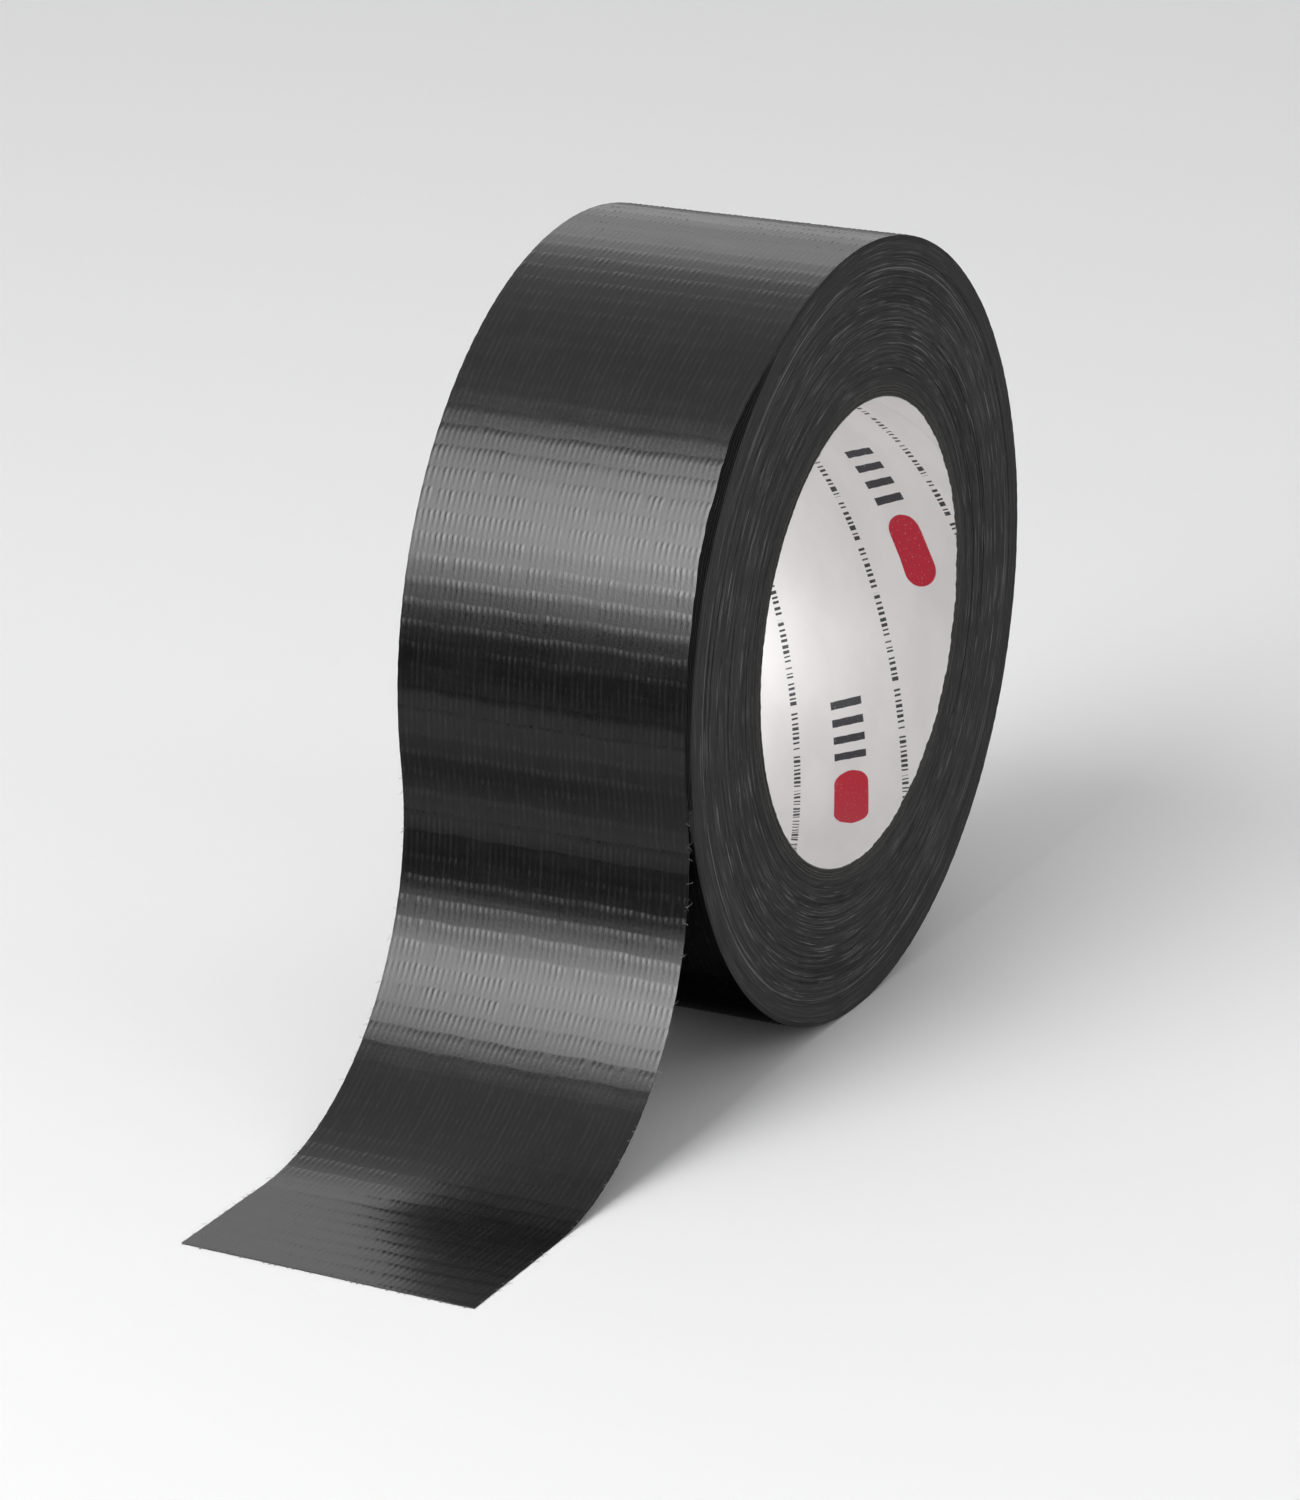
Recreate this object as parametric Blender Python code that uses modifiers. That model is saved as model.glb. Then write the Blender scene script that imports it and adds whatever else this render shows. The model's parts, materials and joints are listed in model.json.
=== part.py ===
"""A roll of cloth-backed duct tape standing on its edge, with its free end lying on the ground.

Frame: the ground is z = 0, the roll's axis runs along Y above the origin, and the free end leads to -X.
The tape is one strip of three bonded layers. It is wound on a paperboard core, comes off the roll at the
peel line, swings away on one arc that is tangent to the roll and to the ground, and ends flat.
"""

import math

import bmesh
import bpy

# Driving dimensions, in metres.
ROLL_RADIUS = 0.0640
BORE_RADIUS = 0.0381  # half of a 3 inch bore
CORE_WALL = 0.0020
TAPE_WIDTH = 0.0500
TAIL_REACH = 0.1334  # from the roll's axis to the cut end, along the ground
LINER_THICKNESS = 0.0001
GLUE_LINE = 0.00002  # between one ply of the core and the next
LAYER_THICKNESS = {"adhesive": 0.00005, "scrim": 0.00004, "film": 0.00005}  # from the sticky side out
LAYER_GAP = 0.000005
END_GAP = 0.0003  # between the ends of two stretches of tape

# Faceting: every round surface has the same corners, and one flat of the roll faces straight down.
FACETS = 96
PEEL_CORNER = 21  # whole flats between the one that the roll stands on and the peel line
FACET_ANGLE = 2 * math.pi / FACETS
ARC_STEPS = 16  # flats along each half of the free end's arc

# What follows from them.
TAPE_THICKNESS = sum(LAYER_THICKNESS.values()) + LAYER_GAP * (len(LAYER_THICKNESS) - 1)
PEEL_DROP = math.pi / 2 - (PEEL_CORNER + 0.5) * FACET_ANGLE  # how far the peel line is below the axis
PEEL_ANGLE = math.pi + PEEL_DROP

PLY_NAMES = ("core_ply_inner", "core_ply_second", "core_ply_third", "core_ply_outer")
PLY_THICKNESS = (CORE_WALL - LINER_THICKNESS) / len(PLY_NAMES) - GLUE_LINE

# Each finish is a colour and a roughness.
LINER_FINISH = ((0.62, 0.62, 0.65), 0.35)
BOARD_FINISH = ((0.10, 0.09, 0.08), 0.85)
WOUND_FINISH = ((0.028, 0.028, 0.030), 0.75)
LAYER_FINISHES = {
    "adhesive": ((0.035, 0.035, 0.038), 0.55),
    "scrim": ((0.30, 0.30, 0.29), 0.90),
    "film": ((0.012, 0.012, 0.014), 0.30),
}

MERGE_DISTANCE = 1e-6
SHARP_ANGLE = math.radians(30)  # from which an edge between two faces stays sharp
GUIDE_SIZE = 0.01


def wound_radius(back):
    """The radius of the tape's outer surface, an angle back along the tape from the peel line."""
    return ROLL_RADIUS - TAPE_THICKNESS * back / (2 * math.pi)


def standing_height():
    """The height of the roll's axis when it stands on the flat that faces straight down."""
    back = 2 * math.pi - (PEEL_CORNER + 1) * FACET_ANGLE
    return wound_radius(back) * math.cos(FACET_ANGLE / 2)


AXIS_HEIGHT = standing_height()

# The free end's arc: its sticky face is tangent to the roll at the peel line and to the ground.
PEEL_RADIUS = ROLL_RADIUS - TAPE_THICKNESS
ARC_RADIUS = (AXIS_HEIGHT - PEEL_RADIUS * math.sin(PEEL_DROP)) / (1 + math.sin(PEEL_DROP))
ARC_CENTRE_X = -(PEEL_RADIUS + ARC_RADIUS) * math.cos(PEEL_DROP)
ARC_LENGTH = ARC_RADIUS * (math.pi / 2 + PEEL_DROP)
TAIL_LENGTH = ARC_LENGTH + TAIL_REACH + ARC_CENTRE_X


def on_roll(radius, angle):
    """A point of the roll's end view, from its distance and direction from the axis."""
    return radius * math.cos(angle), AXIS_HEIGHT + radius * math.sin(angle)


def on_turn(back, depth):
    """A point of the outer turn, an angle back from the peel line and a depth above its sticky face."""
    return on_roll(wound_radius(back) - TAPE_THICKNESS + depth, PEEL_ANGLE - back)


def on_tail(run, depth):
    """A point of the free end, a run of tape from the peel line and a depth above its sticky face."""
    if run > ARC_LENGTH:
        return ARC_CENTRE_X - (run - ARC_LENGTH), depth
    angle = PEEL_DROP - run / ARC_RADIUS
    radius = ARC_RADIUS - depth
    return ARC_CENTRE_X + radius * math.cos(angle), ARC_RADIUS + radius * math.sin(angle)


def spread(first, last, steps):
    """Evenly spaced values from first to last."""
    return [first + (last - first) * step / steps for step in range(steps + 1)]


def make_material(name, look):
    """A Principled material from a finish."""
    colour, roughness = look
    material = bpy.data.materials.new(name)
    material.use_nodes = True
    shader = material.node_tree.nodes["Principled BSDF"]
    shader.inputs["Base Color"].default_value = (*colour, 1.0)
    shader.inputs["Roughness"].default_value = roughness
    shader.inputs["Metallic"].default_value = 0.0
    return material


def finish(obj, look):
    """Turns what the object's modifiers or curve make into its own mesh, shades it and gives it its material."""
    bpy.context.view_layer.update()
    evaluated = obj.evaluated_get(bpy.context.evaluated_depsgraph_get())
    mesh = bpy.data.meshes.new_from_object(evaluated)
    bm = bmesh.new()
    bm.from_mesh(mesh)
    bmesh.ops.remove_doubles(bm, verts=bm.verts, dist=MERGE_DISTANCE)
    bmesh.ops.recalc_face_normals(bm, faces=bm.faces)
    bm.to_mesh(mesh)
    bm.free()
    mesh.shade_smooth()
    mesh.set_sharp_from_angle(angle=SHARP_ANGLE)

    name = obj.name
    place = (obj.parent, obj.location.copy(), obj.rotation_euler.copy())
    collection = obj.users_collection[0]
    bpy.data.objects.remove(obj)
    made = bpy.data.objects.new(name, mesh)
    collection.objects.link(made)
    made.parent, made.location, made.rotation_euler = place
    mesh.name = name
    mesh.materials.clear()
    mesh.materials.append(make_material(name, look))
    return made


def make_ring(collection, name, inner, outer, look):
    """One ply of the core: a rectangle turned about the roll's axis."""
    half = TAPE_WIDTH / 2
    mesh = bpy.data.meshes.new(name)
    corners = [(outer, 0, half), (outer, 0, -half), (inner, 0, -half), (inner, 0, half)]
    mesh.from_pydata(corners, [(0, 1), (1, 2), (2, 3), (3, 0)], [])
    obj = bpy.data.objects.new(name, mesh)
    collection.objects.link(obj)
    screw = obj.modifiers.new("turned", "SCREW")
    screw.steps = FACETS
    screw.render_steps = FACETS
    screw.use_merge_vertices = True
    screw.merge_threshold = MERGE_DISTANCE
    obj.location = (0, 0, AXIS_HEIGHT)
    obj.rotation_euler = (math.pi / 2, FACET_ANGLE / 2, 0)
    return finish(obj, look)


def make_outline(collection, name, outlines, look):
    """A flat outline in the roll's end view, with any holes, as thick as the tape is wide."""
    curve = bpy.data.curves.new(name, "CURVE")
    curve.dimensions = "2D"
    curve.fill_mode = "BOTH"
    curve.extrude = TAPE_WIDTH / 2
    for outline in outlines:
        spline = curve.splines.new("POLY")
        spline.points.add(len(outline) - 1)
        for point, (x, z) in zip(spline.points, outline):
            point.co = (x, z, 0, 1)
        spline.use_cyclic_u = True
    obj = bpy.data.objects.new(name, curve)
    collection.objects.link(obj)
    obj.rotation_euler = (math.pi / 2, 0, 0)
    return finish(obj, look)


def make_strip(collection, name, path, thickness, hinge, look):
    """One layer of a stretch of tape: a path in the roll's end view, drawn out to the tape's width."""
    x0, z0 = hinge.matrix_world.translation.xz if hinge else (0, 0)
    bm = bmesh.new()
    line = [bm.verts.new((x - x0, -TAPE_WIDTH / 2, z - z0)) for x, z in path]
    edges = [bm.edges.new(pair) for pair in zip(line, line[1:])]
    drawn = bmesh.ops.extrude_edge_only(bm, edges=edges)["geom"]
    far = [item for item in drawn if isinstance(item, bmesh.types.BMVert)]
    bmesh.ops.translate(bm, verts=far, vec=(0, TAPE_WIDTH, 0))
    mesh = bpy.data.meshes.new(name)
    bm.to_mesh(mesh)
    bm.free()
    obj = bpy.data.objects.new(name, mesh)
    collection.objects.link(obj)
    obj.parent = hinge
    solidify = obj.modifiers.new("thickness", "SOLIDIFY")
    solidify.thickness = thickness
    solidify.offset = 1
    solidify.use_even_offset = True
    return finish(obj, look)


def make_layers(collection, stretch, point_at, values, hinge=None):
    """The sticky, woven and plastic layers of one stretch of tape, each bonded on the one before."""
    depth = 0
    for layer, thickness in LAYER_THICKNESS.items():
        path = [point_at(value, depth) for value in values]
        make_strip(collection, f"{stretch}_{layer}", path, thickness, hinge, LAYER_FINISHES[layer])
        depth += thickness + LAYER_GAP


def make_core(collection):
    """The printed paper liner and the paperboard plies round it."""
    outer = BORE_RADIUS + LINER_THICKNESS
    make_ring(collection, "core_liner", BORE_RADIUS, outer, LINER_FINISH)
    for name in PLY_NAMES:
        inner = outer + GLUE_LINE
        outer = inner + PLY_THICKNESS
        make_ring(collection, name, inner, outer, BOARD_FINISH)


def make_wound_tape(collection):
    """All the turns under the outer one, as one ring whose outside steps down where the outer turn starts."""
    corners = range(FACETS + 1)
    turn = 2 * math.pi
    under = [on_turn(corner * FACET_ANGLE + turn, TAPE_THICKNESS - LAYER_GAP) for corner in corners]
    bore = [
        on_roll(BORE_RADIUS + CORE_WALL + GLUE_LINE, PEEL_ANGLE + corner * FACET_ANGLE)
        for corner in corners[:-1]
    ]
    make_outline(collection, "wound_tape", [under, bore], WOUND_FINISH)


def make_hinge(collection, name, run, parent=None):
    """An empty on the line across the tape where two stretches of the free end bend."""
    x, z = on_tail(run, TAPE_THICKNESS / 2)
    empty = bpy.data.objects.new(name, None)
    empty.empty_display_size = GUIDE_SIZE
    collection.objects.link(empty)
    empty.parent = parent
    bpy.context.view_layer.update()
    start = parent.matrix_world.translation if parent else (0, 0, 0)
    empty.location = (x - start[0], 0, z - start[2])
    bpy.context.view_layer.update()
    return empty


def make_tail(collection, guides):
    """The free end: two stretches of arc and a flat one, each on a hinge at its start."""
    middle = ARC_LENGTH / 2
    peel = make_hinge(guides, "tail_peel_axis", 0)
    bend = make_hinge(guides, "tail_bend_axis", middle, peel)
    lift = make_hinge(guides, "tail_lift_axis", ARC_LENGTH, bend)
    half_gap = END_GAP / 2
    upper = spread(END_GAP, middle - half_gap, ARC_STEPS)
    lower = spread(middle + half_gap, ARC_LENGTH - half_gap, ARC_STEPS)
    flat = spread(ARC_LENGTH + half_gap, TAIL_LENGTH, 1)
    make_layers(collection, "tail_upper", on_tail, upper, peel)
    make_layers(collection, "tail_lower", on_tail, lower, bend)
    make_layers(collection, "tail_end", on_tail, flat, lift)


def make_outer_turn(collection):
    """The outermost turn, from just short of a whole turn back to the peel line."""
    turn = 2 * math.pi
    backs = [turn - END_GAP / PEEL_RADIUS] + spread(turn - FACET_ANGLE, 0, FACETS - 1)
    make_layers(collection, "outer_turn", on_turn, backs)


def main():
    """Clears the scene and makes every part."""
    for obj in list(bpy.data.objects):
        bpy.data.objects.remove(obj)
    parts = bpy.data.collections.new("duct_tape_roll")
    guides = bpy.data.collections.new("guides")
    for collection in (parts, guides):
        bpy.context.scene.collection.children.link(collection)
    make_core(parts)
    make_wound_tape(parts)
    make_outer_turn(parts)
    make_tail(parts, guides)


main()
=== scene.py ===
"""A roll of cloth-backed duct tape standing on its edge, dressed for a plain studio picture.

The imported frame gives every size: the core's bore, the roll's radius, the tape's width and thickness and
the hinges of its free end. One class holds the tape's path in the roll's end view, one holds its weave,
and each sub-assembly builds its own pieces on them. Lengths are metres unless a name ends in _mm.
"""

import json
import logging
import math
from collections.abc import Sequence
from dataclasses import dataclass, field
from enum import Enum

import bpy
import numpy as np
from mathutils import Matrix, Vector


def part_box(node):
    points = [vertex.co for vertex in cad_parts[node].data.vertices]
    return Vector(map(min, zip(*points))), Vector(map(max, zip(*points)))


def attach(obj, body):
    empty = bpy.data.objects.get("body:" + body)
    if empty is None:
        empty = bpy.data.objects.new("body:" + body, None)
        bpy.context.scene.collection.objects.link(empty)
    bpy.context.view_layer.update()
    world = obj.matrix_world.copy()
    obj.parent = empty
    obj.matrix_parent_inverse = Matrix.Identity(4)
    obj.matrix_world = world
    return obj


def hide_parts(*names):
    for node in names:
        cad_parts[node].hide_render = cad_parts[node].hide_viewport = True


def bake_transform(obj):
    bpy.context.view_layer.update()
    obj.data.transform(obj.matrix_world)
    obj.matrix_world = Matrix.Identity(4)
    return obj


MM = 0.001
FLATS = 96  # flats round the frame's faceted rings
COORDINATES = "tape_mm"  # the mesh attribute that carries each finish's own coordinates
JOIN_GAP = 0.3 * MM  # the gap that a whole turn leaves below the peel line

log = logging.getLogger("duct_tape_roll")
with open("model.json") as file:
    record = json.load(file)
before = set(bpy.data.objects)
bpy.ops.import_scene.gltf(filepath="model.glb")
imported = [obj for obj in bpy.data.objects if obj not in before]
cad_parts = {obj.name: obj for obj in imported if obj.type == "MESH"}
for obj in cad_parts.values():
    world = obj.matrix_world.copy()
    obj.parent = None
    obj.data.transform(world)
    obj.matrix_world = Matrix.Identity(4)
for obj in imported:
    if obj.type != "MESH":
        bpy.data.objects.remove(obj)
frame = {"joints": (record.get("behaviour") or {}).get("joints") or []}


class Body(Enum):
    """The bodies of the frame; the roll's pieces ride on the roll, and the tail's nodes are named after the
    others.
    """

    ROLL = "roll"
    UPPER = "tail_upper"
    LOWER = "tail_lower"
    END = "tail_end"


class Slot(Enum):
    """The record's material slots."""

    LINER = "liner"
    BOARD = "paperboard"
    PACK = "tape_pack"
    FILM = "film"
    CLOTH = "scrim"
    STICKY = "adhesive"


class Layer(Enum):
    """The tape's closed layers that are made the same way."""

    FILM = "film"
    STICKY = "adhesive"


# ---------------------------------------------------------------------------------------------- shader maths


class Wire:
    """One output socket, on which Python's arithmetic adds Math nodes."""

    def __init__(self, graph: "Graph", socket: bpy.types.NodeSocket) -> None:
        """Wraps a socket of a graph."""
        self.graph = graph
        self.socket = socket

    def maths(self, operation: str, *values: "Wire | float") -> "Wire":
        """Adds a Math node.

        Args:
            operation: the node's operation.
            values: its inputs, in order.

        Returns:
            The node's output.
        """
        return self.graph.node("ShaderNodeMath", {"operation": operation}, dict(enumerate(values)))

    def __add__(self, other: "Wire | float") -> "Wire":
        """self + other."""
        return self.maths("ADD", self, other)

    def __radd__(self, other: float) -> "Wire":
        """other + self."""
        return self.maths("ADD", other, self)

    def __sub__(self, other: "Wire | float") -> "Wire":
        """self - other."""
        return self.maths("SUBTRACT", self, other)

    def __rsub__(self, other: float) -> "Wire":
        """other - self."""
        return self.maths("SUBTRACT", other, self)

    def __mul__(self, other: "Wire | float") -> "Wire":
        """self * other."""
        return self.maths("MULTIPLY", self, other)

    def __rmul__(self, other: float) -> "Wire":
        """other * self."""
        return self.maths("MULTIPLY", other, self)

    def __truediv__(self, other: "Wire | float") -> "Wire":
        """self / other."""
        return self.maths("DIVIDE", self, other)

    def __mod__(self, other: float) -> "Wire":
        """self modulo other, always positive."""
        return self.maths("FLOORED_MODULO", self, other)

    def __abs__(self) -> "Wire":
        """The distance from zero."""
        return self.maths("ABSOLUTE", self)

    def floor(self) -> "Wire":
        """The whole number below."""
        return self.maths("FLOOR", self)

    def greatest(self, other: "Wire | float") -> "Wire":
        """The larger of the two."""
        return self.maths("MAXIMUM", self, other)

    def ramp(self, start: float, end: float) -> "Wire":
        """Goes smoothly from 0 at start to 1 at end.

        Args:
            start: the value that gives 0; it may be the larger one.
            end: the value that gives 1.

        Returns:
            The share, from 0 to 1.
        """
        low, high = sorted((start, end))
        settings = {"interpolation_type": "SMOOTHSTEP", "clamp": True}
        share = self.graph.node("ShaderNodeMapRange", settings, {0: self, 1: low, 2: high})
        return share if start < end else 1 - share


class Graph:
    """The nodes of a material or of the world, added one call at a time."""

    def __init__(self, name: str, world: bpy.types.World | None = None) -> None:
        """Starts with no nodes.

        Args:
            name: the new material's name.
            world: the world that gets the nodes, instead of a new material.
        """
        self.owner = world or bpy.data.materials.new(name)
        self.owner.use_nodes = True
        self.tree = self.owner.node_tree
        self.tree.nodes.clear()

    def node(self, kind: str, settings: dict, inputs: dict, output: int | str = 0) -> Wire:
        """Adds any node: its settings first, then its sockets.

        Args:
            kind: the node's type name.
            settings: property names and values.
            inputs: a value or a wire for each socket, by index or name.
            output: which output to give back, by index or name.

        Returns:
            That output.
        """
        made = self.tree.nodes.new(kind)
        for key, value in settings.items():
            if key == "stops":
                self._set_stops(made.color_ramp, value)
            else:
                setattr(made, key, value)
        for key, value in inputs.items():
            if isinstance(value, Wire):
                self.tree.links.new(value.socket, made.inputs[key])
            else:
                made.inputs[key].default_value = value
        return Wire(self, made.outputs[output])

    @staticmethod
    def _set_stops(ramp: bpy.types.ColorRamp, stops: Sequence[tuple[float, float]]) -> None:
        """Gives a ramp its stops.

        Args:
            ramp: the ramp, with the two stops it starts with.
            stops: each stop's position and grey value.
        """
        while len(ramp.elements) < len(stops):
            ramp.elements.new(0.5)
        for element, (position, grey) in zip(ramp.elements, stops):
            element.position = position
            element.color = (grey, grey, grey, 1)

    def coordinates(self) -> tuple[Wire, Wire, Wire]:
        """Reads the mesh's own coordinates.

        Returns:
            Their three numbers, in millimetres.
        """
        settings = {"attribute_name": COORDINATES}
        place = self.node("ShaderNodeAttribute", settings, {}, "Vector")
        return tuple(self.node("ShaderNodeSeparateXYZ", {}, {0: place}, axis) for axis in range(3))

    def vector(self, x: Wire | float, y: Wire | float, z: Wire | float = 0.0) -> Wire:
        """One vector of three numbers."""
        return self.node("ShaderNodeCombineXYZ", {}, {0: x, 1: y, 2: z})

    def noise(self, place: Wire, detail: float = 2.0, roughness: float = 0.5) -> Wire:
        """Noise of one cell per unit.

        Args:
            place: where it is read, already scaled.
            detail: how many finer layers it has.
            roughness: how strong those are.

        Returns:
            A grey value around 0.5.
        """
        sockets = {"Vector": place, "Scale": 1.0, "Detail": detail, "Roughness": roughness}
        return self.node("ShaderNodeTexNoise", {"noise_dimensions": "3D"}, sockets, 0)

    def blend(self, share: Wire | float, first: tuple | Wire, second: tuple | Wire) -> Wire:
        """Mixes two colours.

        Args:
            share: how much of the second shows.
            first: the colour at share 0.
            second: the colour at share 1.

        Returns:
            The mixed colour.
        """
        settings = {"data_type": "RGBA", "clamp_factor": True}
        sockets = {0: share, 6: self._colour(first), 7: self._colour(second)}
        return self.node("ShaderNodeMix", settings, sockets, 2)

    @staticmethod
    def _colour(value: tuple | Wire) -> tuple | Wire:
        """A colour with its alpha, or the wire as it is."""
        return value if isinstance(value, Wire) else (*value, 1.0)

    def bump(self, height: Wire, depth: float) -> Wire:
        """A Bump node.

        Args:
            height: the relief, where 1 is a full depth.
            depth: the height of 1, in metres.

        Returns:
            The bent normal.
        """
        return self.node("ShaderNodeBump", {}, {"Strength": 1.0, "Distance": depth, "Height": height})

    def surface(self, **sockets: object) -> bpy.types.Material:
        """Ends the graph in a Principled shader.

        Args:
            sockets: its inputs, with _ for a space.

        Returns:
            The finished material.
        """
        named = {key.replace("_", " "): value for key, value in sockets.items()}
        self.end("ShaderNodeOutputMaterial", self.node("ShaderNodeBsdfPrincipled", {}, named))
        return self.owner

    def glow(self, strength: Wire | float) -> bpy.types.Material:
        """Ends the graph in a white emission of that strength."""
        self.end("ShaderNodeOutputMaterial", self.node("ShaderNodeEmission", {}, {"Strength": strength}))
        return self.owner

    def end(self, kind: str, shader: Wire) -> None:
        """Links a shader to a new output node of that kind."""
        output = self.tree.nodes.new(kind)
        self.tree.links.new(shader.socket, output.inputs["Surface"])


# ------------------------------------------------------------------------------------------------- finishes


@dataclass(frozen=True)
class FilmFinish:
    """The tape's black plastic face, semi-gloss over the yarns of its cloth."""

    colour: tuple[float, float, float] = (0.0013, 0.0013, 0.0015)
    worn: tuple[float, float, float] = (0.0105, 0.0105, 0.0109)
    roughness: float = 0.235
    grain: float = 0.016 * MM
    warp_pitch_mm: float = 1.0
    tick_mm: tuple[float, float] = (0.02, 0.075)

    def material(self) -> bpy.types.Material:
        """Fine creases along the yarns, rubbed crowns and a broken gloss.

        Returns:
            The material.
        """
        graph = Graph("tape_film")
        across, along, height = graph.coordinates()
        fine = graph.noise(graph.vector(across * 4.2, along * 1.5), 3, 0.6)
        broad = graph.noise(graph.vector(across * 0.09, along * 0.22, 4.0), 3)
        streak = graph.noise(graph.vector(across * 0.05, along * 1.1, 9.0), 2)
        crown = abs(across / self.warp_pitch_mm % 1.0 - 0.5).ramp(0.34, 0.08)
        strand = graph.noise(graph.vector(across * 0.8, along * 0.14, 2.0), 3, 0.6)
        on_ticks = height.ramp(*self.tick_mm) * 0.4
        in_patches = broad.ramp(0.5, 0.8) * 0.15
        rubbed = on_ticks + in_patches + crown * strand.ramp(0.35, 0.7) * 0.6
        gloss = self.roughness + (fine - 0.5) * 0.10 + (broad - 0.5) * 0.10 + (streak - 0.5) * 0.07
        return graph.surface(
            Base_Color=graph.blend(rubbed, self.colour, self.worn),
            Roughness=gloss,
            Normal=graph.bump(fine, self.grain),
        )


@dataclass(frozen=True)
class StickyFinish:
    """The rubbery sticky side, through which the cloth's squares show."""

    colour: tuple[float, float, float] = (0.040, 0.041, 0.044)
    over_yarn: tuple[float, float, float] = (0.075, 0.076, 0.078)
    roughness: float = 0.42
    grain: float = 0.03 * MM
    warp_pitch_mm: float = 1.0
    weft_pitch_mm: float = 3.45

    def material(self) -> bpy.types.Material:
        """A dull film of adhesive, lighter over each yarn.

        Returns:
            The material.
        """
        graph = Graph("tape_adhesive")
        across, along, _ = graph.coordinates()
        wander = (graph.noise(graph.vector(across * 0.3, along * 0.3, 2.0)) - 0.5) * 0.5
        warp = abs((across + wander * 0.3) / self.warp_pitch_mm % 1.0 - 0.5).ramp(0.30, 0.10)
        weft = abs((along + wander) / self.weft_pitch_mm % 1.0 - 0.5).ramp(0.10, 0.03)
        yarn = warp.greatest(weft)
        smear = graph.noise(graph.vector(across * 0.4, along * 0.12, 7.0), 4, 0.6)
        fine = graph.noise(graph.vector(across * 6.0, along * 6.0, 1.0), 2)
        tone = yarn * 0.7 + (smear - 0.5) * 0.9
        return graph.surface(
            Base_Color=graph.blend(tone.ramp(0.0, 1.0), self.colour, self.over_yarn),
            Roughness=self.roughness + (smear - 0.5) * 0.3 + yarn * 0.08,
            Normal=graph.bump(yarn * 0.8 + fine * 0.2 + smear * 0.6, self.grain),
        )


@dataclass(frozen=True)
class EdgeFinish:
    """The slit or cut edge of the tape, where all its layers end."""

    colour: tuple[float, float, float] = (0.030, 0.030, 0.031)
    torn: tuple[float, float, float] = (0.16, 0.16, 0.155)
    roughness: float = 0.62

    def material(self) -> bpy.types.Material:
        """Dark, with pale flecks where yarns were cut through.

        Returns:
            The material.
        """
        graph = Graph("tape_edge")
        across, along, _ = graph.coordinates()
        fleck = graph.noise(graph.vector(across * 1.3, along * 2.1, 3.0), 3, 0.7)
        return graph.surface(
            Base_Color=graph.blend(fleck.ramp(0.55, 0.72), self.colour, self.torn),
            Roughness=self.roughness + fleck * 0.2,
        )


@dataclass(frozen=True)
class YarnFinish:
    """The cloth's yarns."""

    colour: tuple[float, float, float] = (0.22, 0.22, 0.21)
    shade: tuple[float, float, float] = (0.09, 0.09, 0.088)
    roughness: float = 0.82
    grain: float = 0.02 * MM

    def material(self) -> bpy.types.Material:
        """Twisted staple fibres, unevenly grey.

        Returns:
            The material.
        """
        graph = Graph("scrim_yarn")
        across, along, _ = graph.coordinates()
        twist = graph.noise(graph.vector(across * 7.0, along * 3.0), 3, 0.65)
        return graph.surface(
            Base_Color=graph.blend(twist.ramp(0.35, 0.7), self.shade, self.colour),
            Roughness=self.roughness + (twist - 0.5) * 0.2,
            Normal=graph.bump(twist, self.grain),
        )


@dataclass(frozen=True)
class PackFinish:
    """The slit side of the wound tape: turn upon turn, with pale broken yarn ends.

    Within core_band_mm of the core and outer_band_mm of the outside the turns lie more evenly, and two
    fine pale lines, line_gap_mm apart, run round just inside the outer band.
    """

    inner_mm: float
    outer_mm: float
    colour: tuple[float, float, float] = (0.0085, 0.0085, 0.0087)
    raised: tuple[float, float, float] = (0.062, 0.062, 0.062)
    yarn: tuple[float, float, float] = (0.30, 0.30, 0.29)
    roughness: float = 0.66
    relief: float = 0.11 * MM
    turn_mm: float = 0.30
    outer_band_mm: float = 4.0
    core_band_mm: float = 1.8
    line_inset_mm: float = 0.85
    line_gap_mm: float = 0.84

    def material(self) -> bpy.types.Material:
        """Fine rings, faint tone bands, and pale strokes drawn out along the turns.

        Returns:
            The material.
        """
        graph = Graph("wound_side")
        radius, arc, _ = graph.coordinates()
        turns = radius / self.turn_mm
        rim = self.outer_mm - self.outer_band_mm
        near_rim = radius.ramp(rim - 0.4, rim + 0.4)
        core_rim = self.inner_mm + self.core_band_mm
        near_core = radius.ramp(core_rim + 0.8, core_rim)
        lively = 1 - near_rim.greatest(near_core) * 0.55
        band = graph.noise(graph.vector(radius * 0.9, arc * 0.008, 5.0), 3, 0.6)
        ring = graph.noise(graph.vector(turns * 1.15, arc * 0.020, 1.0), 3, 0.75)
        stroke = graph.noise(graph.vector(turns * 1.55, arc * 0.075, 8.0), 4, 0.66)
        where = graph.noise(graph.vector(radius * 0.45, arc * 0.05, 3.0), 2)
        grit = graph.noise(graph.vector(radius * 6.0, arc * 4.0, 6.0), 2, 0.6)
        fleck = stroke.ramp(0.55, 0.66) * (0.45 + where.ramp(0.34, 0.62) * 0.55) * lively
        broken = graph.noise(graph.vector(turns * 0.3, arc * 0.045, 12.0), 3, 0.6).ramp(0.40, 0.56)
        off_line = abs(abs(radius - rim + self.line_inset_mm) - self.line_gap_mm / 2)
        line = off_line.ramp(0.17, 0.03) * broken
        tone = (band - 0.5) * 0.16 + (ring - 0.5) * 0.9 * lively + (grit - 0.5) * 0.45 + 0.5
        base = graph.blend(tone.ramp(0.32, 0.76), self.colour, self.raised)
        ridge = ring * 0.6 + fleck * 0.5 + grit * 0.5 + band * 0.2
        return graph.surface(
            Base_Color=graph.blend((fleck * 0.62).greatest(line * 0.32), base, self.yarn),
            Roughness=self.roughness + (grit - 0.5) * 0.2 + fleck * 0.15,
            Normal=graph.bump(ridge, self.relief),
            Specular_IOR_Level=0.3,
        )


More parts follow.
